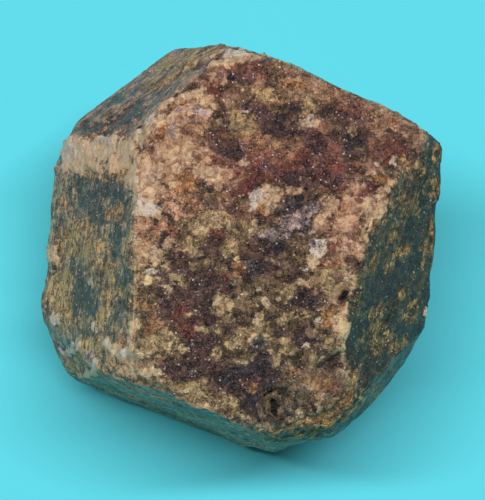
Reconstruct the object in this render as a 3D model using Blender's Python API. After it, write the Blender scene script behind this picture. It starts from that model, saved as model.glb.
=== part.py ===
"""A worn garnet crystal: a malformed rhombic dodecahedron with facetted corners, lying on one of its faces.

It is one piece, cut in millimetres about the crystal's middle and then set on the ground in metres.
"""

from math import cos, exp, radians, sin

import bmesh
import bpy
from mathutils import Vector, noise

MM = 0.001

# The flat faces: lean from straight up and compass bearing (+Y is north, +X is east), in degrees,
# then the distance from the crystal's middle in millimetres.
FACES = {
    "top": (6, 236, 8.6),
    "west": (61, 267, 9.65),
    "north_west": (61, 317, 11.4),
    "east": (53, 111, 11.6),
    "south": (95, 201, 11.1),
    "south_east": (59, 153, 13.85),
    "base": (180, 0, 10.5),
    "under_east": (114, 85, 8.8),
    "under_south_east": (114, 149, 12.35),
    "under_west": (121, 281, 12.1),
    "north": (88, 25, 9.95),
    "under_north": (123, 338, 11.2),
}
# Worn or half-grown facets on the corners and edges, in the same units.
CORNERS = {
    "top_to_north_east": (15, 60, 10.8),
    "top_to_south_east": (41, 149, 12.7),
    "top_to_north": (42, 350, 12.9),
    "top_to_north_west": (44, 291, 11.1),
    "top_to_south_west": (47, 244, 11.4),
    "south_west": (83, 237, 12.3),
    "south_east_low": (91, 134, 12.15),
    "south_low": (93, 171, 12.7),
    "west_low": (77, 296, 12.8),
}
BLOCK = 40.0  # side of the block that the faces cut the crystal from
GRID = 0.74  # spacing of the points on the worn surface
LONGEST = 1.35  # edges longer than this many spacings are divided
ROUNDS = 7  # times that all long edges are halved
RELAXINGS = 3  # times that the points inside a face are evened out after each
FLAT = radians(0.5)  # two triangles that meet at less than this are in one face

# The worn surface over the flat faces: height and width of each kind of unevenness, in millimetres.
SWELL = (0.16, 6.5)
LUMPS = (0.15, 2.6)
CRUST = (0.12, 3.4)  # raised patches of grains with a steep rim
CRUST_RIM = 0.15  # how much of the noise the rim takes up
RUGGED = ((4.2, -11.6, 6.2), 3.2, 0.8)  # the lumpy south-east edge: place, reach, extra height
BASE_FADE = 1.5  # height over the base in which the unevenness sets in

# Single marks: place about the crystal's middle, radius, and height (negative for a hollow).
MARKS = {
    "pit by the east edge": ((5.9, -5.2, 8.9), 0.8, -0.85),
    "pit above the south corner": ((1.6, -11.3, 7.6), 0.85, -0.75),
    "shallow south-east hollow": ((5.4, -9.0, 7.7), 1.1, -0.45),
    "step under the south-east edge": ((5.2, -10.9, 6.4), 0.9, -0.3),
    "grain cluster in the middle": ((0.9, 0.8, 8.8), 1.3, 0.3),
    "lip of the south edge": ((0.4, -12.0, 7.7), 1.2, 0.22),
    "grain on the south-west edge": ((-6.4, -7.9, 6.8), 1.0, 0.28),
    "worn west corner": ((-6.6, 4.6, 7.6), 2.2, -0.22),
    "chip in the east rim": ((11.9, 0.8, 5.0), 1.0, -0.4),
    "low chip in the east rim": ((11.5, -2.5, 3.9), 0.9, -0.35),
    "grain on the west rim": ((-12.7, -2.6, -3.2), 1.2, 0.3),
    "grain on the south-west rim": ((-11.9, -5.8, -5.0), 1.2, 0.3),
    "chip on the north crest": ((-1.2, 10.9, 5.6), 1.2, -0.3),
}


def direction(lean, bearing):
    lean, bearing = radians(lean), radians(bearing)
    return Vector((sin(lean) * sin(bearing), sin(lean) * cos(bearing), cos(lean)))


def smooth_step(value):
    value = min(max(value, 0.0), 1.0)
    return value * value * (3 - 2 * value)


def cut_crystal():
    """A block cut by every face in turn, in millimetres about the crystal's middle."""
    bm = bmesh.new()
    bmesh.ops.create_cube(bm, size=BLOCK)
    for lean, bearing, distance in (FACES | CORNERS).values():
        normal = direction(lean, bearing)
        cut = bmesh.ops.bisect_plane(
            bm,
            geom=bm.verts[:] + bm.edges[:] + bm.faces[:],
            plane_co=normal * distance,
            plane_no=normal,
            clear_outer=True,
        )
        rim = [item for item in cut["geom_cut"] if isinstance(item, bmesh.types.BMEdge)]
        bmesh.ops.contextual_create(bm, geom=rim)
    return bm


def lies_flat(edge):
    return edge.calc_face_angle(0) < FLAT


def even_out(bm):
    """Divides the flat faces into even triangles of about GRID a side, with the crystal's edges kept."""
    for _ in range(ROUNDS):
        long_edges = [edge for edge in bm.edges if edge.calc_length() > LONGEST * GRID]
        bmesh.ops.subdivide_edges(bm, edges=long_edges, cuts=1)
        bmesh.ops.triangulate(bm, faces=bm.faces[:])
        flat_edges = [edge for edge in bm.edges if lies_flat(edge)]
        bmesh.ops.beautify_fill(bm, faces=bm.faces[:], edges=flat_edges)
        inner = [vert for vert in bm.verts if all(lies_flat(edge) for edge in vert.link_edges)]
        for _ in range(RELAXINGS):
            bmesh.ops.smooth_vert(
                bm, verts=inner, factor=0.5, use_axis_x=True, use_axis_y=True, use_axis_z=True
            )


def unevenness(spot):
    """How far the worn surface stands out from the flat face at a spot, in millimetres."""
    swell = SWELL[0] * noise.noise(spot / SWELL[1])
    lumps = LUMPS[0] * noise.noise(spot / LUMPS[1] + Vector((31, 7, 19)))
    patch = noise.noise(spot / CRUST[1] + Vector((5, 43, 11)))
    crust = CRUST[0] * (smooth_step(patch / CRUST_RIM) - 0.5)
    middle, reach, extra = RUGGED
    rugged = 1 + extra * exp(-(((spot - Vector(middle)).length / reach) ** 2))
    height = (swell + lumps + crust) * rugged
    for place, radius, mark in MARKS.values():
        height += mark * exp(-(((spot - Vector(place)).length / radius) ** 2))
    return height


def wear(bm):
    """Moves each point along its normal, less and less towards the flat base."""
    ground = -FACES["base"][2]
    bm.normal_update()
    for vert in bm.verts:
        fade = smooth_step((vert.co.z - ground) / BASE_FADE)
        vert.co += vert.normal * (fade * unevenness(vert.co))


def set_down(bm):
    """Puts the middle of the outline over the origin and the base on the ground, in metres."""
    xs = [vert.co.x for vert in bm.verts]
    ys = [vert.co.y for vert in bm.verts]
    middle = Vector(((min(xs) + max(xs)) / 2, (min(ys) + max(ys)) / 2, -FACES["base"][2]))
    bmesh.ops.translate(bm, vec=-middle, verts=bm.verts[:])
    bmesh.ops.scale(bm, vec=Vector((MM, MM, MM)), verts=bm.verts[:])


def garnet():
    material = bpy.data.materials.new("garnet")
    material.use_nodes = True
    shader = material.node_tree.nodes["Principled BSDF"]
    shader.inputs["Base Color"].default_value = (0.13, 0.065, 0.04, 1)
    shader.inputs["Roughness"].default_value = 0.45
    shader.inputs["Metallic"].default_value = 0.0
    return material


def main():
    for item in list(bpy.data.objects):
        bpy.data.objects.remove(item)
    bm = cut_crystal()
    even_out(bm)
    wear(bm)
    set_down(bm)
    mesh = bpy.data.meshes.new("garnet_crystal")
    bm.to_mesh(mesh)
    bm.free()
    mesh.materials.append(garnet())
    mesh.shade_smooth()
    mesh.set_sharp_from_angle(angle=radians(40))
    crystal = bpy.data.objects.new("garnet_crystal", mesh)
    bpy.context.scene.collection.objects.link(crystal)


main()
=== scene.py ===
"""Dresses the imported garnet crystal: its worn, granular surface, its finish, and a plain stage."""

from math import cos, radians, sin

import bmesh
import bpy
import numpy as np
from mathutils import Matrix, Vector, noise


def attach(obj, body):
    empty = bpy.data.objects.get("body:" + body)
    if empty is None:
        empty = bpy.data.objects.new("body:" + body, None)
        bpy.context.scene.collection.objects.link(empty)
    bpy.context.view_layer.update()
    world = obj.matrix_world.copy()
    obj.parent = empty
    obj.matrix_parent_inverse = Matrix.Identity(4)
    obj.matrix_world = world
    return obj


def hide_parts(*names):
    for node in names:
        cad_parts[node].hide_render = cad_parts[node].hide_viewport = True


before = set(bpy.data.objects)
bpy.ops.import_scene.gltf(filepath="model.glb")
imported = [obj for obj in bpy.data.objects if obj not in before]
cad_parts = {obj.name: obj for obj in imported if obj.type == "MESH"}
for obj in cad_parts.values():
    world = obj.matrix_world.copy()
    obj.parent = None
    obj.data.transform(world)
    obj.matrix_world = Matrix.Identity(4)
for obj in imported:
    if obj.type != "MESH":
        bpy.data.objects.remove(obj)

bl_info = {
    "name": "Garnet crystal",
    "version": (1, 0, 0),
    "blender": (4, 5, 0),
    "location": "View3D > Sidebar > Garnet",
    "description": "Grows a worn garnet crystal and sets it on a plain stage",
    "category": "Add Mesh",
}

NODE = "garnet_crystal"
MM = 0.001

# ---------------------------------------------------------------- sizes of the form, in millimetres

# The flat faces of the crystal: lean from straight up and compass bearing (+Y is north, +X is east),
# in degrees, then the distance from the crystal's middle.
TOP_FACES = {
    "top": (6, 236, 8.6),
    "top_to_north_east": (15, 60, 10.8),
    "top_to_south_east": (41, 149, 12.7),
    "top_to_north": (42, 350, 12.9),
    "top_to_north_west": (44, 291, 11.1),
    "top_to_south_west": (47, 244, 11.4),
}
SIDE_FACES = {
    "west": (61, 267, 9.65),
    "north_west": (61, 317, 11.4),
    "east": (53, 111, 11.6),
    "south": (95, 201, 11.1),
    "south_east": (59, 153, 13.85),
    "base": (180, 0, 10.5),
    "under_east": (114, 85, 8.8),
    "under_south_east": (114, 149, 12.35),
    "under_west": (121, 281, 12.1),
    "north": (88, 25, 9.95),
    "under_north": (123, 338, 11.2),
    "south_west": (83, 237, 12.3),
    "south_east_low": (91, 134, 12.15),
    "south_low": (93, 171, 12.7),
    "west_low": (77, 296, 12.8),
}
FACES = TOP_FACES | SIDE_FACES
BASE_DEPTH = FACES["base"][2]  # how far the base lies under the crystal's middle
BLOCK = 40.0  # side of the block that the faces cut the crystal from
MIDDLE = (0.49, 0.0, BASE_DEPTH)  # the crystal's middle over the frame's origin
ROUNDING = 21  # rounds of smoothing that take the sharpness off the crystal's edges

# The worn surface over the flat faces: height and width of each kind of unevenness. These are the
# solid's own values.
SWELL = (0.16, 6.5)
LUMPS = (0.15, 2.6)
CRUST = (0.12, 3.4)  # raised patches of grains with a steep rim
CRUST_RIM = 0.15  # how much of the noise the rim takes up
RUGGED = ((4.2, -11.6, 6.2), 3.2, 0.8)  # the lumpy south-east edge: place, reach, extra height
BASE_FADE = 1.5  # height over the base in which the unevenness sets in

# Single marks: place about the crystal's middle, radius, and height (negative for a hollow). The worn
# west corner and the three chips differ a little from the solid's, and the worn west crest and the
# swellings are only here.
MARKS = {
    "pit by the east edge": ((5.9, -5.2, 8.9), 0.8, -0.85),
    "pit above the south corner": ((1.6, -11.3, 7.6), 0.85, -0.75),
    "shallow south-east hollow": ((5.4, -9.0, 7.7), 1.1, -0.45),
    "step under the south-east edge": ((5.2, -10.9, 6.4), 0.9, -0.3),
    "grain cluster in the middle": ((0.9, 0.8, 8.8), 1.3, 0.3),
    "lip of the south edge": ((0.4, -12.0, 7.7), 1.2, 0.22),
    "grain on the south-west edge": ((-6.4, -7.9, 6.8), 1.0, 0.28),
    "worn west corner": ((-7.4, 5.0, 7.0), 2.2, -0.4),
    "worn west crest": ((-9.6, 5.8, 4.4), 1.8, -0.3),
    "swelling under the west corner": ((-10.4, 5.4, 1.6), 2.0, 0.2),
    "chip in the east rim": ((11.9, 0.8, 5.0), 1.0, -0.15),
    "low chip in the east rim": ((11.5, -2.5, 3.9), 0.9, -0.1),
    "grain on the west rim": ((-12.7, -2.6, -3.2), 1.2, 0.3),
    "grain on the south-west rim": ((-11.9, -5.8, -5.0), 1.2, 0.3),
    "chip on the north crest": ((-1.2, 10.9, 5.6), 1.2, -0.15),
    "swelling of the north-west rim": ((-7.7, 10.8, -0.2), 2.5, 0.12),
    "swelling of the south-east rim": ((8.8, -9.4, 0.0), 3.6, 0.3),
    "swelling of the east rim": ((12.4, -1.4, 3.4), 2.6, 0.26),
    "swelling of the north-east corner": ((11.3, 7.4, 5.0), 1.5, 0.14),
}

# The finer unevenness that only this surface has: height and width again.
GRAINS = (0.15, 0.7)  # rounded grains on the top faces
GRIT = (0.07, 0.45)  # finer roughness on the top faces
SIDE_GRIT = 0.45  # how much of the grit the side faces have
RIBS = (0.07, 0.32)  # low ribs along the streaks of the side faces
CRUMBS = (0.32, 1.0)  # coarse crumbs along the broken south rim
CRUMBLY = ((4.4, -11.6, 4.8), 4.4)  # where they are, and how far they reach
DOME = 0.7  # how far a grain's or crumb's dome reaches, in its own widths
RAISED = {"cream": 0.12, "ochre": 0.12, "white": 0.12, "dark": -0.1, "night": -0.12, "hole": -0.6}
RAISED_RIM = (0.3, 0.7)  # a patch of those rises between these amounts of its colour
# painted shade and light: the finish darker in the hollows of the fine relief and lighter on its raised
# grains
HEIGHT_SHADE = 3  # how fast the finish gets lighter with each millimetre of fine relief
OLIVE_CRUMBS = 1.1  # how olive the crumbs on the side faces are

# The border between the granular top faces and the dark side faces: reach and width of its waves, how
# deep down the side faces they go, and the blur of the border. Then the width of the worn edge there.
BORDER_WAVES = (0.3, 1.6)
BORDER_RIPPLES = (0.16, 0.5)
BORDER_DEPTH = 1
BORDER_BLUR = 0.08
WORN_EDGE = 0.35

# Which way the streaks of a side face run, in degrees anticlockwise from +X as seen from above.
# The streaks of the other side faces run upright.
STREAKS = {
    "west": 90,
    "west_low": 90,
    "south_west": 90,
    "east": 66,
    "north_west": 32,
    "south": -20,
    "south_low": 5,
    "south_east": 22,
    "south_east_low": 30,
}
STREAK_SIZE = {"north_west": (3.2, 0.26)}  # length and width of a streak
USUAL_STREAK = (2.4, 0.62)
STREAK_BEND = (0.25, 2.0)  # reach and width of the waves in a streak
STREAK_DEPTHS = (0.42, 0.24)  # strength of the streaks and of the finer ones among them
FINER_STREAKS = (2.1, 2.3, 1)  # how much finer those are, along and across
FACE_APART = 7.3  # keeps the streaks of one face from matching those of the next
STREAK_START = 50  # added to the places along and across the streaks, so that they are all above 0

# How far each side face leans to the brown, the dark green and the rusty looks.
BROWN_FACES = {"north_west": 1}
DEEP_FACES = {
    "east": 1,
    "under_east": 1,
    "south_east": 0.85,
    "south_east_low": 0.85,
    "under_south_east": 0.85,
    "south_low": 0.5,
}
RUSTY_FACES = {
    "south_low": 1,
    "south_east_low": 0.85,
    "under_south_east": 0.85,
    "south": 0.3,
    "south_east": 0.3,
}

# ---------------------------------------------------------------- places of the colours

# The front of the stage, which the colours are placed from.
VIEW_TILT = radians(14)  # off the vertical
VIEW_DISTANCE = 151.5  # millimetres from the crystal's middle to the camera
VIEW_MIDDLE = (243, 249)  # pixels right and down to the crystal's middle, in a view 485 wide and 500 high
VIEW_SCALE = 15.84  # pixels to a millimetre there

# The patches of each colour, placed in the view: pixels right and down to the middle, then half
# the length and half the width in pixels, and the turn in degrees anticlockwise where there is one.
PATCHES = {
    "rose": (
        (152, 158, 36, 26, 15), (140, 200, 14, 24), (188, 150, 28, 16, -10), (190, 115, 22, 18),
        (216, 176, 22, 11, -10), (350, 206, 26, 11, 60), (341, 246, 15, 26), (332, 282, 20, 22),
        (341, 322, 24, 6, 80), (142, 238, 9, 26), (136, 368, 20, 12, -15), (172, 128, 20, 12, 30),
        (214, 205, 16, 8), (350, 220, 8, 9), (345, 250, 14, 12, 20), (372, 170, 7, 8, 30),
        (122, 345, 12, 10), (228, 66, 7, 4), (321, 224, 9, 8), (173, 212, 12, 8), (319, 125, 7, 7),
        (160, 199, 9, 8), (178, 253, 7, 5), (157, 231, 8, 8), (214, 81, 10, 7), (176, 136, 14, 9),
        (324, 129, 8, 6),
    ),
    "russet": (
        (236, 70, 28, 16, -15), (214, 152, 20, 18), (254, 166, 40, 20, -10), (325, 165, 36, 26, -20),
        (385, 152, 26, 14, -30), (240, 190, 14, 12), (350, 116, 30, 14, -28), (168, 238, 9, 9),
        (180, 310, 20, 22), (205, 85, 18, 26, 20), (335, 215, 10, 14), (210, 78, 16, 10),
        (238, 176, 12, 8), (266, 172, 22, 8), (335, 190, 14, 6), (315, 140, 14, 9),
        (372, 145, 16, 8, -25), (250, 178, 14, 10), (322, 265, 12, 8), (220, 238, 10, 8),
        (335, 300, 8, 8), (232, 173, 10, 9), (208, 160, 12, 8), (361, 198, 11, 9), (162, 372, 10, 8),
        (226, 207, 9, 6), (329, 320, 5, 7), (224, 66, 10, 6), (159, 314, 8, 7),
    ),
    "plum": (
        (270, 124, 40, 13, -25), (296, 182, 28, 14, 60), (256, 262, 30, 20, 20), (196, 286, 42, 16),
        (200, 345, 24, 46), (255, 378, 30, 14, 30), (302, 296, 28, 15), (305, 340, 18, 8),
        (354, 140, 14, 14), (250, 408, 12, 12), (225, 385, 22, 16), (300, 118, 12, 8),
        (238, 80, 12, 7, -20), (315, 148, 13, 12), (330, 180, 22, 8, -10), (292, 212, 14, 10),
        (268, 168, 10, 6), (363, 200, 10, 7, 30), (298, 190, 14, 9), (267, 91, 9, 7),
    ),
    "amber": (
        (300, 88, 26, 13, -20), (248, 104, 38, 10), (182, 184, 20, 15), (156, 338, 22, 12, 90),
        (396, 128, 32, 12, -25), (320, 384, 26, 20, -20), (162, 140, 14, 10, 20), (250, 140, 20, 10),
        (235, 215, 30, 10, -10), (330, 270, 16, 10, 60), (278, 145, 8, 5), (258, 148, 7, 5),
        # (345, 96, 80, 5, -22), the long thin band along the north-east rim, is a painted highlight where
        # that rim catches the light.
        (295, 155, 7, 10, -20), (385, 125, 18, 6, -20), (410, 133, 15, 5, -28), (345, 96, 80, 5, -22),
        (415, 140, 14, 12, -30), (380, 135, 20, 14, -20), (330, 100, 18, 8, -20), (310, 160, 10, 8),
        (250, 90, 20, 10), (190, 206, 10, 8),
    ),
    "cream": (
        (145, 190, 13, 20), (150, 172, 22, 9, 10), (135, 165, 8, 14), (172, 152, 22, 11, 15),
        (160, 122, 16, 5, 20), (130, 140, 8, 7), (182, 98, 20, 5, 20), (206, 103, 9, 6),
        (206, 172, 15, 8, -15), (272, 200, 14, 13, -20), (290, 192, 7, 6), (170, 246, 5, 5),
        (152, 255, 11, 10), (145, 283, 12, 7), (327, 210, 10, 11), (366, 210, 8, 12, 60),
        (378, 202, 15, 4, 55), (310, 262, 6, 6), (303, 285, 9, 5), (262, 305, 6, 6), (259, 322, 5, 5),
        (224, 307, 9, 7), (135, 352, 14, 5, 10), (140, 372, 20, 6, -15), (240, 163, 6, 5),
        (167, 288, 5, 3), (70, 162, 9, 14, 15), (78, 148, 9, 8), (52, 256, 5, 9), (202, 171, 14, 7, -10),
        (165, 185, 8, 6), (240, 58, 16, 5, -5), (216, 64, 12, 5, 20), (342, 322, 5, 9, 20),
        (374, 212, 16, 3, 60), (383, 190, 10, 3, 55), (362, 235, 3, 9, 10), (88, 374, 12, 4, 30),
        (118, 352, 7, 5), (131, 335, 4, 14), (68, 156, 9, 13, 20), (86, 146, 14, 6, 10),
        (119, 150, 10, 11), (127, 176, 7, 12), (104, 148, 8, 7), (96, 152, 14, 8), (78, 164, 8, 12, 20),
        (112, 162, 7, 10), (345, 322, 22, 2.5, 80), (341, 350, 9, 3, 80), (320, 222, 6, 6),
        (178, 136, 8, 5), (95, 167, 7, 6), (137, 357, 9, 5, 10), (62, 170, 5, 6), (149, 131, 9, 5, 25),
        (126, 376, 7, 3, -15), (156, 218, 5, 5), (136, 357, 12, 6, 5), (303, 124, 6, 6),
        (146, 132, 9, 5, 25), (122, 376, 9, 4, -15), (172, 136, 7, 6), (66, 153, 7, 9, 15),
        (140, 352, 10, 5), (128, 360, 8, 5), (144, 132, 12, 7, 25), (130, 137, 9, 6),
        (371, 222, 10, 5, 65), (140, 378, 8, 3, -15),
    ),
    "ochre": (
        (215, 222, 28, 8, -5), (240, 232, 14, 10), (200, 228, 12, 9), (232, 250, 8, 9, 20),
        (187, 248, 10, 6), (202, 262, 5, 4), (193, 268, 5, 4), (167, 270, 5, 4), (178, 280, 7, 4),
        (158, 345, 17, 9, -10), (177, 350, 6, 5), (148, 352, 12, 7), (215, 330, 7, 6), (218, 313, 7, 6),
        (185, 391, 20, 7, -10), (207, 384, 7, 6), (225, 405, 13, 8, -10), (200, 398, 10, 5, -20),
        (150, 378, 16, 5, -20), (284, 300, 10, 7, 20), (290, 290, 8, 6), (325, 288, 9, 8),
        (325, 272, 12, 7), (288, 353, 9, 5), (283, 343, 4, 5), (276, 367, 6, 6), (312, 365, 7, 8),
        (250, 333, 8, 4), (260, 95, 14, 7), (245, 92, 10, 6), (308, 104, 6, 11), (350, 131, 5, 5),
        (262, 430, 18, 6, -20), (330, 402, 10, 4, 25), (345, 285, 8, 4), (136, 262, 4, 20),
        (294, 424, 7, 4, 10), (322, 407, 8, 5, 20), (340, 398, 7, 4, 30), (270, 436, 8, 4, -10),
        (255, 428, 8, 4, -20), (240, 125, 11, 10), (303, 118, 7, 12), (95, 347, 18, 9, 30),
        (76, 366, 12, 7, 40), (112, 366, 16, 7, 20), (128, 300, 4, 14), (66, 320, 6, 12, 80),
        (230, 320, 8, 5), (200, 330, 6, 4), (245, 365, 8, 5, 20), (262, 345, 6, 4), (215, 355, 7, 4),
        (344, 272, 6, 4), (196, 406, 12, 5, -20), (160, 384, 14, 4, -20), (240, 418, 10, 4, -20),
        (92, 162, 7, 11), (107, 166, 6, 13), (308, 388, 6, 6), (325, 340, 6, 7), (222, 300, 8, 4, 10),
        (238, 333, 6, 4), (228, 345, 6, 5), (268, 340, 5, 3), (292, 366, 4, 5), (186, 318, 6, 3),
        (256, 330, 9, 5, 15), (237, 346, 9, 6), (170, 337, 14, 5, -30), (300, 318, 6, 5),
        (285, 322, 8, 5), (327, 348, 7, 6), (301, 125, 7, 6), (262, 330, 8, 5), (330, 350, 12, 9),
        (256, 340, 8, 6), (232, 117, 8, 6),
    ),
    "orange": (
        (160, 135, 9, 10), (181, 184, 18, 13), (290, 85, 9, 7), (303, 88, 5, 7), (141, 306, 8, 5),
        (152, 331, 8, 6), (262, 214, 8, 4), (327, 268, 13, 6), (327, 318, 7, 9), (240, 270, 9, 7),
        (252, 388, 7, 6, 20), (380, 184, 9, 5, -10), (160, 134, 7, 8), (318, 384, 12, 9),
        (346, 398, 7, 5),
    ),
    "red": (
        (247, 190, 8, 9), (335, 168, 10, 6), (405, 163, 9, 5, 40), (178, 316, 11, 10), (188, 330, 9, 8),
        (212, 93, 5, 4), (151, 151, 4, 7, -20), (395, 150, 20, 6, -20), (340, 392, 9, 8),
        (222, 277, 7, 6), (365, 193, 9, 6), (285, 281, 9, 5), (331, 247, 6, 8), (178, 314, 9, 9),
        (390, 162, 9, 4, -30), (408, 166, 5, 5, 40), (244, 196, 7, 6, 20), (254, 190, 5, 4),
        (300, 160, 10, 6), (262, 182, 10, 5), (318, 178, 9, 5), (285, 168, 8, 5), (361, 198, 8, 6),
        (234, 173, 7, 6), (405, 163, 10, 6, 35),
    ),
    "dark": (
        (275, 125, 13, 12), (290, 136, 13, 6), (290, 112, 9, 8), (332, 108, 9, 9), (357, 121, 16, 5),
        (357, 140, 13, 9), (225, 148, 19, 8, -10), (302, 185, 15, 8), (312, 197, 10, 5),
        (262, 222, 16, 7, 25), (210, 203, 11, 9), (205, 250, 18, 8), (180, 262, 14, 6), (190, 300, 25, 8),
        (205, 285, 16, 8), (225, 385, 13, 11), (190, 366, 14, 13), (205, 345, 12, 10), (235, 325, 12, 9),
        (252, 240, 9, 12), (268, 246, 16, 8), (280, 250, 10, 8), (310, 300, 18, 8), (299, 343, 12, 7),
        (292, 275, 7, 8), (135, 148, 6, 6), (395, 143, 16, 5, -25), (200, 320, 10, 8), (215, 360, 10, 10),
        (285, 365, 4, 4), (240, 400, 6, 8), (207, 405, 9, 4), (193, 68, 9, 6, 30), (120, 118, 25, 5, 28),
        (90, 128, 10, 5, 30), (300, 421, 6, 4, 10), (333, 413, 6, 3, 20), (318, 433, 7, 3, 10),
        (350, 402, 5, 4, 30), (362, 382, 5, 6, 30), (108, 340, 8, 5, 40), (60, 352, 6, 8, 70),
        (335, 372, 6, 4), (343, 387, 15, 9, 20), (352, 262, 6, 6), (334, 364, 8, 4, 15), (166, 244, 6, 8),
        (162, 270, 8, 6), (172, 305, 10, 7), (345, 383, 6, 6), (164, 301, 7, 5), (163, 373, 8, 5),
        (241, 264, 11, 8), (226, 295, 7, 5), (348, 378, 12, 8), (298, 190, 11, 7), (174, 331, 8, 6),
        (182, 289, 9, 6), (187, 309, 12, 9), (227, 208, 7, 5), (405, 165, 8, 5, 30), (329, 318, 4, 5),
        (160, 314, 8, 6),
    ),
    "night": (
        (295, 206, 10, 8, 30), (281, 250, 8, 7), (252, 268, 8, 11, 20), (269, 385, 4, 8, -20),
        (255, 372, 16, 5, 30), (264, 360, 9, 4, 30), (356, 142, 9, 7), (252, 397, 13, 3, 30),
        (262, 345, 9, 5), (248, 108, 5, 3), (282, 208, 10, 6, 40), (262, 390, 20, 5, 50),
        (238, 378, 22, 6, 10),
    ),
    # Violet: painted sheen, the light's reflection on smooth grains.
    "violet": (
        (288, 228, 18, 8, 35), (303, 220, 9, 10), (272, 236, 10, 4, 20), (310, 208, 7, 7),
        (190, 112, 14, 3), (174, 133, 4, 9), (318, 246, 9, 5), (62, 342, 5, 4, 60), (90, 356, 5, 4),
        (258, 347, 6, 4), (305, 232, 8, 5),
    ),
    # White: white grains, and among the smallest of them painted glints, such as (303, 349, 3, 2) and
    # (323, 245, 5, 6).
    "white": (
        (235, 52, 12, 4, -10), (262, 57, 5, 2, -10), (148, 122, 7, 4, 20), (135, 131, 5, 3, 30),
        (171, 163, 3, 2), (148, 213, 10, 6, 10), (138, 206, 5, 7), (152, 275, 10, 5, 10),
        (258, 199, 7, 8), (242, 112, 4, 1.3), (310, 124, 4, 5), (392, 163, 1.5, 3), (323, 245, 5, 6),
        (316, 253, 8, 4), (303, 273, 3, 2), (303, 349, 3, 2), (316, 320, 5, 4, 30), (126, 354, 5, 4),
        (255, 291, 3, 3), (239, 295, 3, 2), (252, 212, 5, 4), (66, 152, 5, 8, -15), (95, 142, 6, 4),
        (109, 138, 6, 4), (55, 322, 4, 7, 10), (112, 345, 4, 8, 10), (78, 348, 4, 8, 15), (68, 352, 4, 5),
        (95, 365, 4, 4), (90, 286, 1.5, 5, 15), (98, 330, 1.5, 6, 15), (424, 312, 3, 4), (358, 400, 3, 4),
        (70, 151, 8, 8), (98, 143, 8, 4),
    ),
    "olive": (
        (68, 240, 8, 14), (85, 233, 7, 12), (80, 252, 20, 7), (98, 250, 8, 7), (125, 253, 4, 6),
        (62, 292, 7, 14), (66, 306, 6, 10), (92, 270, 5, 12), (108, 275, 7, 14), (118, 292, 4, 5),
        (105, 300, 8, 8), (101, 322, 6, 9), (86, 345, 8, 9), (112, 213, 12, 7), (118, 170, 6, 12),
        (62, 200, 5, 8), (418, 170, 5, 8, 20), (395, 232, 14, 7, 62), (403, 250, 9, 7, 60),
        (413, 210, 11, 5, 70), (426, 194, 9, 4, 60), (436, 190, 10, 5, 85), (374, 262, 15, 5, 60),
        (388, 268, 7, 5, 45), (430, 243, 20, 7, 80), (424, 268, 8, 4, 80), (397, 297, 10, 4, 72),
        (380, 316, 8, 7, 60), (378, 337, 15, 12, 40), (394, 350, 10, 8, 50), (407, 310, 12, 8, 55),
        (404, 345, 9, 7, 40), (385, 372, 10, 6, 50), (374, 352, 9, 5, 70), (370, 390, 8, 5, 40),
        (386, 217, 13, 4, 70), (350, 376, 6, 10), (190, 51, 13, 4, 22), (165, 68, 12, 5, 30),
        (215, 46, 8, 4), (150, 90, 14, 3, 25), (165, 84, 14, 3, 30), (78, 236, 20, 16), (60, 290, 9, 24),
        (300, 428, 14, 6, 10), (330, 415, 14, 7, 20), (285, 440, 12, 5), (345, 402, 12, 7, 30),
        (365, 392, 7, 5, 30), (312, 436, 10, 5, 15), (352, 418, 10, 5, 35), (200, 54, 14, 5, 15),
        (186, 66, 12, 5, 30), (400, 200, 15, 13), (408, 170, 10, 12, 60), (340, 408, 12, 7, 20),
        (318, 420, 12, 6, 10), (104, 306, 4, 26), (436, 152, 6, 10), (432, 190, 6, 14), (95, 177, 7, 5),
        (139, 379, 9, 4, -15), (368, 264, 12, 5, 68),
    ),
    "teal": (
        (78, 190, 6, 10), (108, 182, 7, 18), (93, 222, 6, 13), (118, 238, 6, 18), (78, 292, 6, 27),
        (92, 308, 9, 12), (95, 340, 8, 9), (125, 290, 5, 26), (60, 230, 7, 9), (405, 190, 14, 8, 65),
        (391, 235, 16, 6, 72), (411, 235, 16, 6, 65), (395, 280, 22, 14, 60), (375, 290, 16, 9, 60),
        (352, 340, 18, 7, 75), (362, 372, 8, 6), (388, 360, 6, 5), (350, 380, 7, 10, 60),
        (375, 372, 8, 10, 60), (316, 424, 8, 4), (102, 184, 9, 14, 10), (84, 202, 9, 9),
        (115, 206, 8, 22, 5), (96, 214, 12, 8, -20), (113, 101, 9, 5, 30), (117, 314, 6, 12),
        (110, 259, 6, 10),
    ),
    "hole": (
        (341, 297, 6.6, 4.8, 25), (268, 401, 3.8, 3.5), (278, 414, 3.8, 5.7, 20), (229, 76, 4.8, 3.2),
    ),
}
PATCH_WARP = ((0.42, 1.3), (0.26, 0.45), (0.1, 0.24))  # reach and width of the waves in their outlines
PATCH_RIM = (1.6, 1.2)  # where a patch ends, in its own sizes, and how much of that its rim takes up
SEEN = (0.05, 0.25)  # patches fade in as the surface faces the view by this much, 1 being straight on
OLIVE_PART = (-3.0, 3.0)  # the colours turn from rosy to olive between these, in millimetres down
LAYERS = {
    "zones": ("rose", "russet", "plum", "amber"),
    "light_patches": ("cream", "ochre", "orange", "white"),
    "deep_patches": ("dark", "night", "red", "violet"),
}

# ---------------------------------------------------------------- sizes and tints of the finish

# Noises of the finish: size in millimetres, detail and roughness.
BENDING = (0.8, 2.0, 0.55)
BEND_REACH = 0.35  # how far the first of them bends the others
DUST = (0.1, 2.0, 1.0)
FINE = (0.3, 3.0, 0.7)
MIDDLING = (0.9, 4.0, 0.7)
BROAD = (2.6, 3.0, 0.5)
HUES = (0.8, 2.0, 0.5)
STRANDS = (1.0, 3.0, 0.6)
STRAND_STRETCH = (0.8, 5.0, 1.0)  # along and across the streaks
GRAIN = 0.36  # size of the coloured grains, in millimetres
CLUSTER = 0.8
# cells of the white dots and painted glints
SPECK_AND_GLINT = 0.2
BUMP_HEIGHT = 0.13

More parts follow.
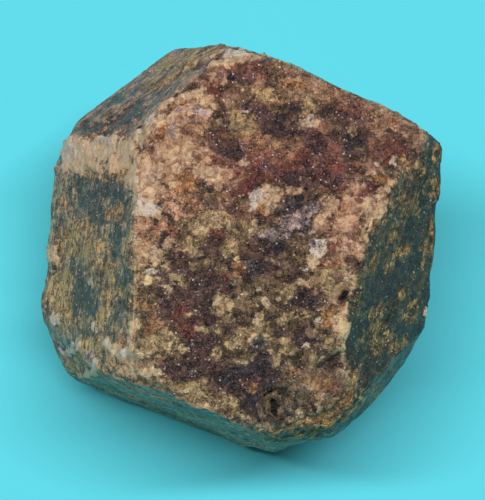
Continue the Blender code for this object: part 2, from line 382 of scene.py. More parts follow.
# What a colour is multiplied by, in red, green and blue.
PLAIN = (1, 1, 1)
CREAMY_TINT = (1.0, 1.13, 1.24)
SIDE_TINT = (1.13, 1.01, 0.97)
DEEP_TINT = (0.95, 0.98, 0.88)
RUSTY_TINT = (1.3, 0.95, 0.5)
HUE_TINTS = ((1.04, 0.98, 0.9), (0.98, 0.99, 1.04))
DRIFT_TINTS = ((1.04, 0.99, 0.93), (0.96, 1.01, 0.93))  # north, then south
SHADE_RANGE = (0.38, 1.9)  # how dark and how light the grains may make their colour

# Limits of the finished colour, linear, and of the roughness.
DARKEST = 0.012
BRIGHTEST = 0.9
ROUGHEST = 0.9

# ---------------------------------------------------------------- the stage, in metres

GROUND_REACH = 1.5
KEY_SIZE = (0.5, 0.03)
KEY_PLACE = (0, 0.013, 0.42)
VIEW_SHIFT = (-0.11, -0.16)  # how far right and up the camera stands, in millimetres


def linear(red, green, blue):
    """A colour as screens give it, from 0 to 255, made linear."""
    return tuple(
        value / 255 / 12.92 if value < 10 else ((value / 255 + 0.055) / 1.055) ** 2.4
        for value in (red, green, blue)
    )


def colour(name, red, green, blue):
    return bpy.props.FloatVectorProperty(
        name=name,
        description=f"Colour: {name.lower()}",
        subtype="COLOR",
        size=3,
        min=0,
        max=1,
        default=linear(red, green, blue),
    )


class CrystalShape(bpy.types.PropertyGroup):
    """Sizes of the crystal's surface, in millimetres."""

    grid: bpy.props.FloatProperty(
        name="Grid", description="Spacing of the surface points in millimetres", default=0.165, min=0.1
    )
    relief: bpy.props.FloatProperty(
        name="Fine relief", description="Strength of the grains", default=1.0, min=0, subtype="FACTOR"
    )


class CrystalColours(bpy.types.PropertyGroup):
    """The crystal's colours, all but one with a dark and a light end."""

    brown_low: colour("Brown, dark end", 56, 42, 33)
    brown_high: colour("Brown, light end", 138, 112, 84)
    rose_low: colour("Rose zone, dark end", 152, 106, 84)
    rose_high: colour("Rose zone, light end", 226, 184, 152)
    russet_low: colour("Russet zone, dark end", 84, 45, 40)
    russet_high: colour("Russet zone, light end", 148, 98, 84)
    plum_low: colour("Plum zone, dark end", 52, 30, 36)
    plum_high: colour("Plum zone, light end", 108, 76, 76)
    amber_low: colour("Amber zone, dark end", 108, 74, 56)
    amber_high: colour("Amber zone, light end", 178, 137, 108)
    dark_low: colour("Dark garnet, dark end", 40, 27, 30)
    dark_high: colour("Dark garnet, light end", 106, 79, 73)
    red_low: colour("Red garnet, dark end", 70, 26, 24)
    red_high: colour("Red garnet, light end", 124, 70, 60)
    orange_low: colour("Orange, dark end", 116, 76, 46)
    orange_high: colour("Orange, light end", 198, 146, 96)
    ochre_low: colour("Ochre grains, dark end", 93, 73, 48)
    ochre_high: colour("Ochre grains, light end", 203, 174, 132)
    cream_low: colour("Cream grains, dark end", 172, 134, 106)
    cream_high: colour("Cream grains, light end", 244, 214, 176)
    # The violet sheen is painted: the light's reflection on smooth grains.
    violet_low: colour("Violet sheen, dark end", 96, 76, 82)
    violet_high: colour("Violet sheen, light end", 200, 180, 178)
    night_low: colour("Blue-black, dark end", 18, 17, 24)
    night_high: colour("Blue-black, light end", 64, 58, 68)
    # The white grains' colour also paints the glints among them.
    white_low: colour("White grains, dark end", 206, 186, 172)
    white_high: colour("White grains, light end", 254, 243, 232)
    side_low: colour("West face, dark end", 62, 54, 44)
    side_high: colour("West face, light end", 176, 154, 120)
    olive_low: colour("Olive streaks, dark end", 122, 96, 58)
    olive_high: colour("Olive streaks, light end", 224, 190, 136)
    stone_low: colour("North-west face, dark end", 86, 62, 48)
    stone_high: colour("North-west face, light end", 196, 154, 120)
    deep_low: colour("East face, dark end", 37, 43, 37)
    deep_high: colour("East face, light end", 76, 86, 66)
    moss_low: colour("East streaks, dark end", 62, 56, 28)
    moss_high: colour("East streaks, light end", 116, 107, 58)
    teal_low: colour("Teal streaks, dark end", 32, 33, 29)
    teal_high: colour("Teal streaks, light end", 86, 78, 66)
    # Painted shade: the dark that falls into the pits.
    hole: colour("Bottom of a hole", 32, 20, 15)


class StageSettings(bpy.types.PropertyGroup):
    """The ground, the light and the camera."""

    ground: colour("Ground", 93, 218, 234)
    key_power: bpy.props.FloatProperty(
        name="Key light", description="Power in watts", default=2.0, min=0, unit="POWER"
    )
    sky: bpy.props.FloatProperty(name="Sky", description="Strength of the even light", default=0.08, min=0)
    lens: bpy.props.FloatProperty(
        name="Lens", description="Focal length in millimetres", default=172.8, min=1, unit="CAMERA"
    )


# ---------------------------------------------------------------- the form


def direction(lean, bearing):
    lean, bearing = radians(lean), radians(bearing)
    return Vector((sin(lean) * sin(bearing), sin(lean) * cos(bearing), cos(lean)))


def cut_crystal():
    """A block cut by every face in turn, in millimetres about the crystal's middle."""
    bm = bmesh.new()
    bmesh.ops.create_cube(bm, size=BLOCK)
    for lean, bearing, distance in FACES.values():
        normal = direction(lean, bearing)
        cut = bmesh.ops.bisect_plane(
            bm,
            geom=bm.verts[:] + bm.edges[:] + bm.faces[:],
            plane_co=normal * distance,
            plane_no=normal,
            clear_outer=True,
        )
        rim = [item for item in cut["geom_cut"] if isinstance(item, bmesh.types.BMEdge)]
        bmesh.ops.contextual_create(bm, geom=rim)
    mesh = bpy.data.meshes.new("flat_faced_crystal")
    bm.to_mesh(mesh)
    bm.free()
    return mesh


def evenly_meshed(mesh, grid):
    """The same form with points a grid step apart and its edges a little rounded."""
    block = bpy.data.objects.new("flat_faced_crystal", mesh)
    bpy.context.scene.collection.objects.link(block)
    remesh = block.modifiers.new("even points", "REMESH")
    remesh.mode = "VOXEL"
    remesh.voxel_size = grid
    rounding = block.modifiers.new("rounded edges", "SMOOTH")
    rounding.factor = 0.5
    rounding.iterations = ROUNDING
    even = bpy.data.meshes.new_from_object(
        block.evaluated_get(bpy.context.evaluated_depsgraph_get())
    )
    bpy.data.objects.remove(block)
    return even


def read_values(items, name):
    """A place or direction of each item, one to a row."""
    values = np.empty(len(items) * 3)
    items.foreach_get(name, values)
    return values.reshape(-1, 3)


def waves(points, width, seed=(0, 0, 0)):
    """Smooth noise of a width in millimetres at each point, about -1 to 1."""
    return np.array([noise.noise(spot) for spot in (points / width + np.array(seed)).tolist()])


def rounded_grains(points, width, seed=(0, 0, 0)):
    """Rounded bumps of a width in millimetres, 1 at each grain's middle and about 0 between grains."""
    places = (points / width + np.array(seed)).tolist()
    nearest = np.array([noise.voronoi(spot)[0][0] for spot in places])
    return 1 - np.clip(nearest / DOME, 0, 1) ** 2


def smooth_step(values, low=0.0, high=1.0):
    values = np.clip((values - low) / (high - low), 0, 1)
    return values * values * (3 - 2 * values)


def spread(points, place, radius):
    return np.exp(-(((points - np.array(place)) ** 2).sum(1) / radius**2))


def solid_relief(points):
    """The unevenness that the solid has too, in millimetres."""
    swell = SWELL[0] * waves(points, SWELL[1])
    lumps = LUMPS[0] * waves(points, LUMPS[1], (31, 7, 19))
    crust = CRUST[0] * (smooth_step(waves(points, CRUST[1], (5, 43, 11)) / CRUST_RIM) - 0.5)
    middle, reach, extra = RUGGED
    height = (swell + lumps + crust) * (1 + extra * spread(points, middle, reach))
    for place, radius, mark in MARKS.values():
        height += mark * spread(points, place, radius)
    return height


def fine_relief(points, side, streaks, crumbly, patches):
    """Grains, grit, ribs, crumbs, and patches that stand a little up or down, in millimetres."""
    fine = GRAINS[0] * (rounded_grains(points, GRAINS[1]) - 0.5) * (1 - side)
    grit = waves(points, GRIT[1], (9, 9, 2)) + 0.5 * waves(points, GRIT[1] / 2, (4, 1, 7))
    fine += GRIT[0] * grit * (1 - side * (1 - SIDE_GRIT))
    fine += RIBS[0] * (streaks - 0.5) * side
    fine += CRUMBS[0] * (rounded_grains(points, CRUMBS[1], (3, 5, 8)) - 0.5) * crumbly
    for kind, raised in RAISED.items():
        fine += raised * smooth_step(patches[kind], *RAISED_RIM)
    return fine


# ---------------------------------------------------------------- where the colours lie


def in_millimetres(right, down, length, width, turn=0):
    """A patch across and up from the crystal's middle, to a tenth, and its sizes, to two figures."""
    across = round((right - VIEW_MIDDLE[0]) / VIEW_SCALE, 1)
    up = round((VIEW_MIDDLE[1] - down) / VIEW_SCALE, 1)
    length, width = (float(f"{size / VIEW_SCALE:.2g}") for size in (length, width))
    return across, up, length, width, radians(turn)


class Surface:
    """What is known of every surface point before it is worn: its face, its place and its patches."""

    def __init__(self, points, normals):
        self.points = points
        self.names = list(FACES)
        self.planes = np.array([direction(lean, bearing) for lean, bearing, _ in FACES.values()])
        distances = np.array([distance for _, _, distance in FACES.values()])
        slack = distances - points @ self.planes.T
        top = [self.names.index(name) for name in TOP_FACES]
        side = [self.names.index(name) for name in SIDE_FACES]
        self.top_slack = slack[:, top].min(1)
        self.side_slack = slack[:, side].min(1)
        self.side_face = np.array(side)[slack[:, side].argmin(1)]
        view = np.array((0, -sin(VIEW_TILT), cos(VIEW_TILT)))
        self.seen = smooth_step(normals @ view, *SEEN)
        up = np.array((0, cos(VIEW_TILT), sin(VIEW_TILT)))
        nearer = VIEW_DISTANCE / (VIEW_DISTANCE - points @ view)
        self.across = points[:, 0] * nearer
        self.up = points @ up * nearer
        for reach, width in PATCH_WARP:
            self.across += reach * waves(points, width, (3, 1, 9))
            self.up += reach * waves(points, width, (17, 23, 5))

    def side_amount(self):
        """0 on the granular top faces and 1 on the dark side faces, with an uneven border."""
        border = BORDER_WAVES[0] * waves(self.points, BORDER_WAVES[1], (2, 8, 4))
        border += BORDER_RIPPLES[0] * waves(self.points, BORDER_RIPPLES[1], (6, 3, 1))
        border *= self.side_slack < BORDER_DEPTH
        return smooth_step(self.top_slack - self.side_slack + border, -BORDER_BLUR, BORDER_BLUR)

    def patch(self, kind):
        """1 in the middle of the patches of a kind, a half at their rims and 0 away from them."""
        end, rim = PATCH_RIM
        most = np.zeros(len(self.points))
        for placed in PATCHES[kind]:
            across, up, length, width, turn = in_millimetres(*placed)
            run, rise = self.across - across, self.up - up
            along = run * cos(turn) + rise * sin(turn)
            aside = rise * cos(turn) - run * sin(turn)
            out = np.hypot(along / length, aside / width)
            most = np.maximum(most, smooth_step(end - out, 0, rim))
        return most * self.seen

    def share(self, shares):
        """Each point's share, by the side face that is nearest to it."""
        return np.array([shares.get(name, 0.0) for name in self.names])[self.side_face]

    def streaks(self):
        """Noise drawn out along each side face's own streaks, 0 to 1, and each point's place on its face.

        A place is how far along and how far across the streaks a point lies, in millimetres, then a
        number of the face's own.
        """
        values = np.zeros(len(self.points))
        places = np.zeros((len(self.points), 3))
        for index in set(self.side_face.tolist()):
            name = self.names[index]
            normal = Vector(self.planes[index])
            run = Vector((0, 0, 1))
            if name in STREAKS:
                turn = radians(STREAKS[name])
                run = Vector((cos(turn), sin(turn) * cos(VIEW_TILT), sin(turn) * sin(VIEW_TILT)))
            if name == "base":
                run = Vector((1, 0, 0))
            along = (run - normal * run.dot(normal)).normalized()
            aside = normal.cross(along)
            length, width = STREAK_SIZE.get(name, USUAL_STREAK)
            own = np.nonzero(self.side_face == index)[0]
            spots = self.points[own]
            bent = spots @ np.array(aside) + STREAK_BEND[0] * waves(spots, STREAK_BEND[1], (index, 0, 0))
            face_number = np.full(len(own), index * FACE_APART)
            places[own] = np.stack([spots @ np.array(along), bent, face_number], 1)
            drawn = places[own] / np.array((length, width, 1))
            finer = waves(drawn * np.array(FINER_STREAKS), 1, (11, 11, 11))
            values[own] = 0.5 + STREAK_DEPTHS[0] * waves(drawn, 1) + STREAK_DEPTHS[1] * finer
        return np.clip(values, 0, 1), places


def write_layer(mesh, name, channels):
    """Keeps four values a point as a colour attribute for the material."""
    layer = mesh.attributes.new(name, "FLOAT_COLOR", "POINT")
    layer.data.foreach_set("color", np.stack(channels, 1).astype(np.float32).ravel())


def worn_crystal(grid, relief):
    """The crystal's fine surface with its colour layers, in millimetres about the crystal's middle."""
    mesh = evenly_meshed(cut_crystal(), grid)
    points = read_values(mesh.vertices, "co")
    normals = read_values(mesh.vertex_normals, "vector")
    surface = Surface(points, normals)
    patches = {kind: surface.patch(kind) for kind in PATCHES}
    side = surface.side_amount()
    streaks, streak_places = surface.streaks()
    crumbly = spread(points, *CRUMBLY)

    fine = fine_relief(points, side, streaks, crumbly, patches)
    height = solid_relief(points) + relief * fine
    fade = smooth_step((points[:, 2] + BASE_DEPTH) / BASE_FADE)
    moved = points + normals * (height * fade)[:, None]
    moved[:, 2] = np.maximum(moved[:, 2], -BASE_DEPTH)
    mesh.vertices.foreach_set("co", moved.ravel())

    edge = np.exp(-(((surface.top_slack + surface.side_slack) / WORN_EDGE) ** 2))
    # Painted shade and light: darker in the hollows of the fine relief, lighter on its raised grains.
    height_shade = np.clip(0.5 + HEIGHT_SHADE * fine, 0, 1)
    olive = np.maximum(patches["olive"], OLIVE_CRUMBS * crumbly * side * height_shade)
    southness = smooth_step(-surface.up, *OLIVE_PART)
    looks = [surface.share(shares) for shares in (BROWN_FACES, DEEP_FACES, RUSTY_FACES)]
    nothing = np.zeros(len(points))
    for name, kinds in LAYERS.items():
        write_layer(mesh, name, [patches[kind] for kind in kinds])
    write_layer(mesh, "side_patches", [side, streaks, olive, patches["teal"]])
    write_layer(mesh, "wear_and_relief_shade", [edge, patches["hole"], height_shade, southness])
    write_layer(mesh, "faces", [*looks, nothing])
    write_layer(mesh, "streak_places", [*(streak_places + STREAK_START).T, nothing])
    return mesh


def put_in_frame(mesh):
    """Sets the crystal on the ground at its solid's place, in metres."""
    mesh.transform(Matrix.Scale(MM, 4) @ Matrix.Translation(MIDDLE))


# ---------------------------------------------------------------- the finish


def opaque(colour_value):
    return (*colour_value, 1.0)


class Finish:
    """A node material, with short ways to add and join its nodes."""

    def __init__(self, name):
        self.material = bpy.data.materials.new(name)
        self.material.use_nodes = True
        self.tree = self.material.node_tree
        self.shader = self.tree.nodes["Principled BSDF"]
        coordinates = self.node("ShaderNodeTexCoord").outputs["Object"]
        self.place = self.scaled(coordinates, 1 / MM)

    def node(self, kind, **settings):
        node = self.tree.nodes.new(kind)
        for name, value in settings.items():
            setattr(node, name, value)
        return node

    def feed(self, socket, value):
        if isinstance(value, bpy.types.NodeSocket):
            self.tree.links.new(value, socket)
        else:
            socket.default_value = value

    def sum(self, operation, *values):
        """A step of arithmetic on single values."""
        node = self.node("ShaderNodeMath", operation=operation)
        for socket, value in zip(node.inputs, values):
            self.feed(socket, value)
        return node.outputs[0]

    def product(self, first, second):
        return self.sum("MULTIPLY", first, second)

    def total(self, *shares, start=0.0):
        """The start plus each value times its share."""
        running = start
        for value, share in shares:
            running = self.sum("MULTIPLY_ADD", value, share, running)
        return running

    def vector(self, operation, *values):
        """A step of arithmetic on places or colours, part by part."""
        node = self.node("ShaderNodeVectorMath", operation=operation)
        for socket, value in zip(node.inputs, values):
            self.feed(socket, value)
        return node.outputs[0]

    def scaled(self, place, scale):
        node = self.node("ShaderNodeVectorMath", operation="SCALE")
        self.feed(node.inputs[0], place)
        self.feed(node.inputs["Scale"], scale)
        return node.outputs[0]

    def shifted(self, first, scale, second):
        """First times scale plus second, for places."""
        return self.vector("MULTIPLY_ADD", first, (scale, scale, scale), second)

    def step(self, value, low, high):
        node = self.node("ShaderNodeMapRange", interpolation_type="SMOOTHSTEP")
        for name, number in (("Value", value), ("From Min", low), ("From Max", high)):
            self.feed(node.inputs[name], number)
        return node.outputs["Result"]

    def blend(self, amount, first, second):
        node = self.node("ShaderNodeMix", data_type="RGBA")
        self.feed(node.inputs["Factor"], amount)
        self.feed(node.inputs[6], first)
        self.feed(node.inputs[7], second)
        return node.outputs[2]

    def tinted(self, surface, amount, tint, plain=PLAIN):
        """A colour times a tint where the amount is 1, and times the plain one where it is 0."""
        return self.vector("MULTIPLY", surface, self.blend(amount, opaque(plain), opaque(tint)))

    def centred_noise(self, place, size, detail, roughness):
        """Noise about 0, between -0.3 and 0.3 for the most part."""
        return self.sum("SUBTRACT", self.noise(place, size, detail, roughness).outputs["Fac"], 0.5)

    def noise(self, place, size, detail, roughness):
        node = self.node("ShaderNodeTexNoise")
        values = {"Vector": place, "Scale": 1 / size, "Detail": detail, "Roughness": roughness}
        for name, value in values.items():
            self.feed(node.inputs[name], value)
        return node

    def cells(self, place, size, **settings):
        node = self.node("ShaderNodeTexVoronoi", **settings)
        self.feed(node.inputs["Vector"], place)
        self.feed(node.inputs["Scale"], 1 / size)
        return node

    def edges(self, place, size):
        """How far a place is from the nearest edge between cells of a size."""
        return self.cells(place, size, feature="DISTANCE_TO_EDGE").outputs["Distance"]

    def parts(self, socket, mode="RGB"):
        node = self.node("ShaderNodeSeparateColor", mode=mode)
        self.feed(node.inputs["Color"], socket)
        return node.outputs[0], node.outputs[1], node.outputs[2]

    def layer(self, name):
        node = self.node("ShaderNodeAttribute", attribute_name=name)
        return *self.parts(node.outputs["Color"]), node.outputs["Alpha"]

    def no_brighter(self, surface, limit):
        """The colour with its brightest part held under a limit and its hue kept."""
        hue, strength, value = self.parts(surface, "HSV")
        node = self.node("ShaderNodeCombineColor", mode="HSV")
        for socket, part in zip(node.inputs, (hue, strength, self.sum("MINIMUM", value, limit))):
            self.feed(socket, part)
        return node.outputs[0]


class GarnetFinish(Finish):
    """Dark and red garnet under ochre, cream and white grains, with streaked green-grey side faces;
    painted glints among the white dots, a violet painted sheen and a fine painted sheen, and painted shade
    in the pits, in the cracks between grains and in the hollows of the fine relief.
    """

    def __init__(self, colours):
        super().__init__("garnet")
        self.colours = colours
        self.read_layers()
        self.add_noises()
        surface = self.side_colours(self.top_colours())
        surface = self.holes_with_painted_shade(self.specks_and_glints(self.patch_colours(surface)))
        self.feed(self.shader.inputs["Base Color"], self.shaded(surface))
        self.add_gloss()
        self.add_bumps()

    def read_layers(self):
        self.patch = {}
        for name, kinds in LAYERS.items():
            self.patch.update(zip(kinds, self.layer(name)))
        self.side, self.streaks, self.patch["olive"], self.patch["teal"] = self.layer("side_patches")
        # The height read here is the painted shade and light of the fine relief.
        self.edge, self.hole, self.height, self.southness = self.layer("wear_and_relief_shade")
        self.brownness, self.deepness, self.rustiness, _ = self.layer("faces")
        self.top = self.sum("SUBTRACT", 1.0, self.side)
        self.deep = self.product(self.side, self.deepness)

    def add_noises(self):
        """The noises, then how ragged a patch's rim is and how light a colour is at each place."""
        bending = self.noise(self.place, *BENDING).outputs["Color"]
        self.bent = self.shifted(bending, BEND_REACH, self.place)
        self.dust = self.centred_noise(self.place, *DUST)
        self.fine = self.centred_noise(self.bent, *FINE)
        self.middling = self.centred_noise(self.bent, *MIDDLING)
        self.broad = self.centred_noise(self.bent, *BROAD)
        self.grains = self.cells(self.bent, GRAIN)
        self.grain_shade, grain_pick, _ = self.parts(self.grains.outputs["Color"])
        self.cluster_pick = self.parts(self.cells(self.bent, CLUSTER).outputs["Color"])[0]
        strand_place = self.node("ShaderNodeAttribute", attribute_name="streak_places").outputs["Vector"]
        strand_place = self.vector("MULTIPLY", strand_place, STRAND_STRETCH)
        self.strands = self.product(self.centred_noise(strand_place, *STRANDS), self.side)

        self.ragged = self.total(
            (self.dust, 0.6),
            (self.fine, 1.2),
            (self.middling, 0.8),
            (grain_pick, 0.7),
            (self.cluster_pick, 0.2),
            start=-0.45,
        )
        shade = self.total(
            (self.fine, 1.2),
            (self.middling, 0.8),
            (self.broad, 0.6),
            (self.grain_shade, 0.5),
            (self.strands, 0.7),
            start=0.25,
        )
        self.shade = self.step(shade, 0.0, 1.0)

    def variation(self, name):
        """A colour between its dark and its light end."""
        low, high = (opaque(getattr(self.colours, f"{name}_{end}")) for end in ("low", "high"))
        return self.blend(self.shade, low, high)

    def laid(self, name, under, softness=0.3, opacity=0.88, amount=None):
        """A colour laid over another in its patches, or where an amount is high, with a ragged rim."""
        amount = amount or self.patch[name]
        rim = self.sum("ADD", amount, self.ragged)
        cover = self.step(rim, 0.5 - softness, 0.5 + softness)
        cover = self.product(cover, self.step(amount, 0.0, 0.3))
        return self.blend(self.product(cover, opacity), under, self.variation(name))

    def top_colours(self):
        """Broad zones of colour with gloomy parts and scattered ochre grains."""
        surface = self.variation("brown")
        for name in ("russet", "amber", "plum", "rose"):
            surface = self.laid(name, surface, softness=0.4, opacity=1.0)
        gloom = self.product(self.step(self.broad, 0.08, -0.08), self.top)
        surface = self.laid("dark", surface, amount=self.product(gloom, 0.3))
        scattered = self.product(self.step(self.cluster_pick, 0.7, 0.76), self.top)
        scattered = self.product(scattered, self.step(self.middling, -0.05, 0.08))
        often = self.total((self.patch["plum"], 0.25), (self.patch["russet"], -0.15), start=0.2)
        scattered = self.product(scattered, often)
        return self.blend(scattered, surface, self.variation("ochre"))

    def side_colours(self, surface):
        """The streaked side faces, laid over the rest: west, then east, then north-west."""
        drawn = self.total((self.ragged, 0.4), (self.strands, 1.0), start=self.streaks)
        drawn = self.step(drawn, 0.4, 0.75)
        west = self.blend(self.product(drawn, 0.35), self.variation("side"), self.variation("olive"))
        east = self.blend(drawn, self.variation("deep"), self.variation("moss"))
        sides = self.blend(self.deepness, west, east)
        sides = self.blend(self.brownness, sides, self.variation("stone"))
        return self.blend(self.side, surface, sides)

    def patch_colours(self, surface):
        """The smaller patches, among them the violet painted sheen and the white grains with painted
        glints among them, then cream grains along the worn edge.
        """
        for name in ("dark", "red", "orange", "teal"):
            surface = self.laid(name, surface)
        olive = self.patch["olive"]
        olive = self.total((self.product(olive, self.deepness), -0.35), start=olive)
        surface = self.laid("olive", surface, softness=0.4, amount=olive)
        for name in ("ochre", "cream", "violet", "night"):
            surface = self.laid(name, surface)
        surface = self.laid("white", surface, opacity=0.82)
        worn = self.product(self.edge, self.step(self.middling, -0.05, 0.1))
        return self.blend(self.product(worn, 0.5), surface, self.variation("cream"))

    def specks_and_glints(self, surface):
        """Small white dots, white grains and painted glints, a few of them lighter still as painted
        glints.
        """
        cells = self.cells(self.bent, SPECK_AND_GLINT)
        pick = self.parts(cells.outputs["Color"])[0]
        rim = self.sum("SUBTRACT", self.total((self.dust, 1.0), start=0.3), cells.outputs["Distance"])
        speck_and_glint = self.product(self.step(rim, 0.0, 0.12), self.step(pick, 0.68, 0.78))
        painted_glint = self.step(pick, 0.93, 0.95)
        self.speck_and_glint = self.product(speck_and_glint, self.total((self.deep, -0.15), (painted_glint, 0.5), start=0.4))
        return self.blend(self.speck_and_glint, surface, self.variation("white"))

    def holes_with_painted_shade(self, surface):
        # Painted shade: the pits darkened to the colour of a pit's bottom.
        return self.blend(self.step(self.hole, 0.25, 0.6), surface, opaque(self.colours.hole))

    def shaded(self, surface):
        """The colour tinted, made lighter and darker grain by grain, with painted shade in the cracks and
        hollows and painted light on the raised grains, given a fine painted sheen, and kept within limits.
        """
        rose, russet, amber, cream, white = (
            self.patch[kind] for kind in ("rose", "russet", "amber", "cream", "white")
        )
        # Painted shade: darker towards the cracks between grains and between clusters of grains.
        crevice_shade = self.step(self.edges(self.bent, GRAIN), 0.0, 0.2)
        gap_shade = self.step(self.edges(self.bent, CLUSTER), 0.0, 0.14)
        # The height term is painted shade in the hollows of the fine relief and painted light on its
        # raised grains.
        mottle = self.total(
            (self.fine, 1.0), (self.middling, 1.1), (self.height, 0.4), (crevice_shade, 0.3), (gap_shade, 0.3)
        )
        mottle = self.total((mottle, 1.0), (self.grain_shade, 0.3), (self.strands, 2.0), start=-0.8)
        evenness = self.total(
            (cream, -0.3), (rose, -0.15), (russet, -0.25), (amber, -0.25), (self.deep, -0.2), start=1.0
        )
        mottle = self.product(mottle, evenness)
        calm = self.total((cream, -0.4), (rose, -0.2), (self.side, 0.3), (self.deep, -0.45), start=1.0)
        # Fine tone, its light dots stronger than its dark ones; it also drives the painted sheen below.
        fine_tone_and_sheen = self.product(self.sum("MAXIMUM", self.dust, self.product(self.dust, 0.42)), calm)
        lifted = self.product(self.side, self.sum("MAXIMUM", cream, white))
        grey = self.total(
            (fine_tone_and_sheen, 4.8),
            (mottle, 1.0),
            (self.deep, -0.34),
            (lifted, 1.1),
            (rose, 0.08),
            (russet, 0.06),
            (self.side, -0.05),
            # painted glints: the white dots made lighter still on the side faces
            (self.product(self.speck_and_glint, self.side), 0.9),
            start=0.97,
        )
        grey = self.sum("MINIMUM", self.sum("MAXIMUM", grey, SHADE_RANGE[0]), SHADE_RANGE[1])

        creamy = self.product(self.side, self.sum("SUBTRACT", cream, white))
        hue = self.step(self.centred_noise(self.bent, *HUES), -0.15, 0.15)
        surface = self.tinted(surface, creamy, CREAMY_TINT)
        surface = self.tinted(surface, hue, HUE_TINTS[1], HUE_TINTS[0])
        surface = self.tinted(surface, self.southness, DRIFT_TINTS[1], DRIFT_TINTS[0])
        surface = self.tinted(surface, self.side, SIDE_TINT)
        surface = self.tinted(surface, self.deep, DEEP_TINT)
        surface = self.tinted(surface, self.product(self.side, self.rustiness), RUSTY_TINT)
        # Painted sheen: a neutral whitish lift where the finest noise is light, standing in for tiny
        # highlights.
        painted_sheen = self.sum("MULTIPLY_ADD", self.sum("MAXIMUM", fine_tone_and_sheen, -0.04), 0.4, 0.005)
        surface = self.vector("MULTIPLY_ADD", PLAIN, painted_sheen, self.scaled(surface, grey))
        surface = self.vector("MAXIMUM", surface, (DARKEST, DARKEST, DARKEST))
        return self.no_brighter(surface, BRIGHTEST)

    def add_gloss(self):
        powdery = self.sum("MAXIMUM", self.patch["cream"], self.patch["ochre"])
        powdery = self.sum("MAXIMUM", powdery, self.patch["olive"])
        self.glint = self.step(self.grain_shade, 0.7, 0.74)
        rough = self.total(
            (powdery, 0.3), (self.side, 0.12), (self.fine, 0.4), (self.glint, -0.1), start=0.28
        )
        self.feed(self.shader.inputs["Roughness"], self.sum("MINIMUM", rough, ROUGHEST))
        self.shader.inputs["IOR"].default_value = 1.5
        self.shader.inputs["Specular IOR Level"].default_value = 0.5

    def add_bumps(self):
        """Fine bumps, with the glinting grains each tilted its own way."""
        domes = self.grains.outputs["Distance"]
        bumps = self.total((domes, -0.8), (self.dust, 1.2), (self.fine, 1.5), (self.middling, 1.5))
        bump = self.node("ShaderNodeBump")
        self.feed(bump.inputs["Height"], bumps)
        bump.inputs["Distance"].default_value = BUMP_HEIGHT * MM
        bump.inputs["Strength"].default_value = 1.0
        tilt = self.shifted(self.grains.outputs["Color"], 1.0, (-0.5, -0.5, -0.5))
        tilt = self.scaled(tilt, self.product(self.glint, 0.6))
        facing = self.vector("NORMALIZE", self.vector("ADD", bump.outputs["Normal"], tilt))
        self.feed(self.shader.inputs["Normal"], facing)


def ground_finish(colour_value):
    material = bpy.data.materials.new("pale_ground")
    material.use_nodes = True
    shader = material.node_tree.nodes["Principled BSDF"]
    shader.inputs["Base Color"].default_value = opaque(colour_value)
    shader.inputs["Roughness"].default_value = 0.7
    shader.inputs["IOR"].default_value = 1.3
    return material


# ---------------------------------------------------------------- operators


class GARNET_OT_crystal(bpy.types.Operator):
    """Grow the worn crystal over its solid and give it its finish"""

    bl_idname = "garnet.crystal"
    bl_label = "Grow the crystal"

    def execute(self, context):
        shape = context.scene.garnet_shape
        mesh = worn_crystal(shape.grid, shape.relief)
        put_in_frame(mesh)
        mesh.materials.clear()
        mesh.materials.append(GarnetFinish(context.scene.garnet_colours).material)
        mesh.shade_smooth()
        crystal = bpy.data.objects.new("worn_garnet_crystal", mesh)
        context.scene.collection.objects.link(crystal)
        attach(crystal, "root")
        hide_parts(NODE)
        return {"FINISHED"}


def add_ground(context, ground_colour):
    bm = bmesh.new()
    bmesh.ops.create_grid(bm, x_segments=1, y_segments=1, size=GROUND_REACH)
    mesh = bpy.data.meshes.new("ground")
    bm.to_mesh(mesh)
    bm.free()
    mesh.materials.append(ground_finish(ground_colour))
    ground = bpy.data.objects.new("ground", mesh)
    context.scene.collection.objects.link(ground)


def add_sky(context, strength):
    world = bpy.data.worlds.new("even_sky")
    world.use_nodes = True
    background = world.node_tree.nodes["Background"]
    background.inputs["Color"].default_value = (1, 1, 1, 1)
    background.inputs["Strength"].default_value = strength
    context.scene.world = world
    context.scene.view_settings.view_transform = "Standard"


def add_key_light(context, power, target):
    """A long, narrow softbox that points at the target."""
    light = bpy.data.lights.new("key", "AREA")
    light.shape = "RECTANGLE"
    light.energy = power
    light.size, light.size_y = KEY_SIZE
    lamp = bpy.data.objects.new("key", light)
    lamp.location = KEY_PLACE
    lamp.rotation_euler = (target - Vector(KEY_PLACE)).to_track_quat("-Z", "Y").to_euler()
    context.scene.collection.objects.link(lamp)


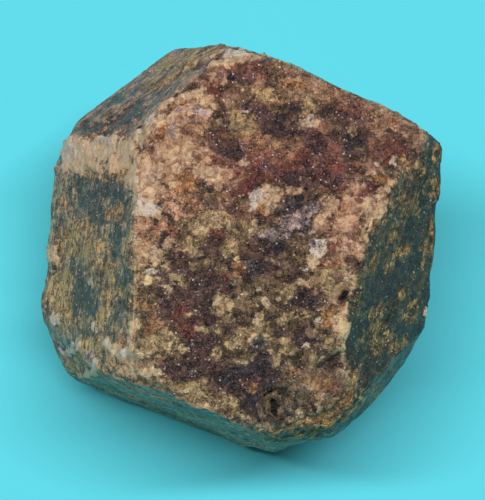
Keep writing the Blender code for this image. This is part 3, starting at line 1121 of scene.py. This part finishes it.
def add_camera(context, focal_length, target):
    """A camera at the front of the stage, which looks down on the target."""
    lens = bpy.data.cameras.new("camera")
    lens.lens = focal_length
    lens.sensor_width = 36
    lens.clip_start = 0.01
    camera = bpy.data.objects.new("camera", lens)
    camera.rotation_euler = (VIEW_TILT, 0, 0)
    right, rise = VIEW_SHIFT
    back = Vector((0, -sin(VIEW_TILT), cos(VIEW_TILT))) * VIEW_DISTANCE * MM
    up = Vector((0, cos(VIEW_TILT), sin(VIEW_TILT)))
    camera.location = target + back + Vector((right, 0, 0)) * MM + up * rise * MM
    context.scene.collection.objects.link(camera)
    context.scene.camera = camera


class GARNET_OT_stage(bpy.types.Operator):
    """Lay the ground, hang the lights and set the camera"""

    bl_idname = "garnet.stage"
    bl_label = "Set the stage"

    def execute(self, context):
        stage = context.scene.garnet_stage
        middle = Vector(MIDDLE) * MM
        add_ground(context, stage.ground)
        add_sky(context, stage.sky)
        add_key_light(context, stage.key_power, middle)
        add_camera(context, stage.lens, middle)
        return {"FINISHED"}


class GARNET_PT_panel(bpy.types.Panel):
    """Lists the steps and their settings"""

    bl_idname = "GARNET_PT_panel"
    bl_label = "Garnet crystal"
    bl_space_type = "VIEW_3D"
    bl_region_type = "UI"
    bl_category = "Garnet"

    def draw(self, context):
        for operator in (GARNET_OT_crystal, GARNET_OT_stage):
            self.layout.operator(operator.bl_idname)
        for group in ("garnet_shape", "garnet_stage", "garnet_colours"):
            settings = getattr(context.scene, group)
            for name in settings.bl_rna.properties.keys():
                if name not in ("name", "rna_type"):
                    self.layout.prop(settings, name)


CLASSES = (
    CrystalShape,
    CrystalColours,
    StageSettings,
    GARNET_OT_crystal,
    GARNET_OT_stage,
    GARNET_PT_panel,
)


def register():
    for item in CLASSES:
        bpy.utils.register_class(item)
    bpy.types.Scene.garnet_shape = bpy.props.PointerProperty(type=CrystalShape)
    bpy.types.Scene.garnet_colours = bpy.props.PointerProperty(type=CrystalColours)
    bpy.types.Scene.garnet_stage = bpy.props.PointerProperty(type=StageSettings)


def unregister():
    del bpy.types.Scene.garnet_stage
    del bpy.types.Scene.garnet_colours
    del bpy.types.Scene.garnet_shape
    for item in reversed(CLASSES):
        bpy.utils.unregister_class(item)


def main():
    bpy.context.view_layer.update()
    register()
    bpy.ops.garnet.crystal()
    bpy.ops.garnet.stage()


if __name__ == "__main__":
    main()
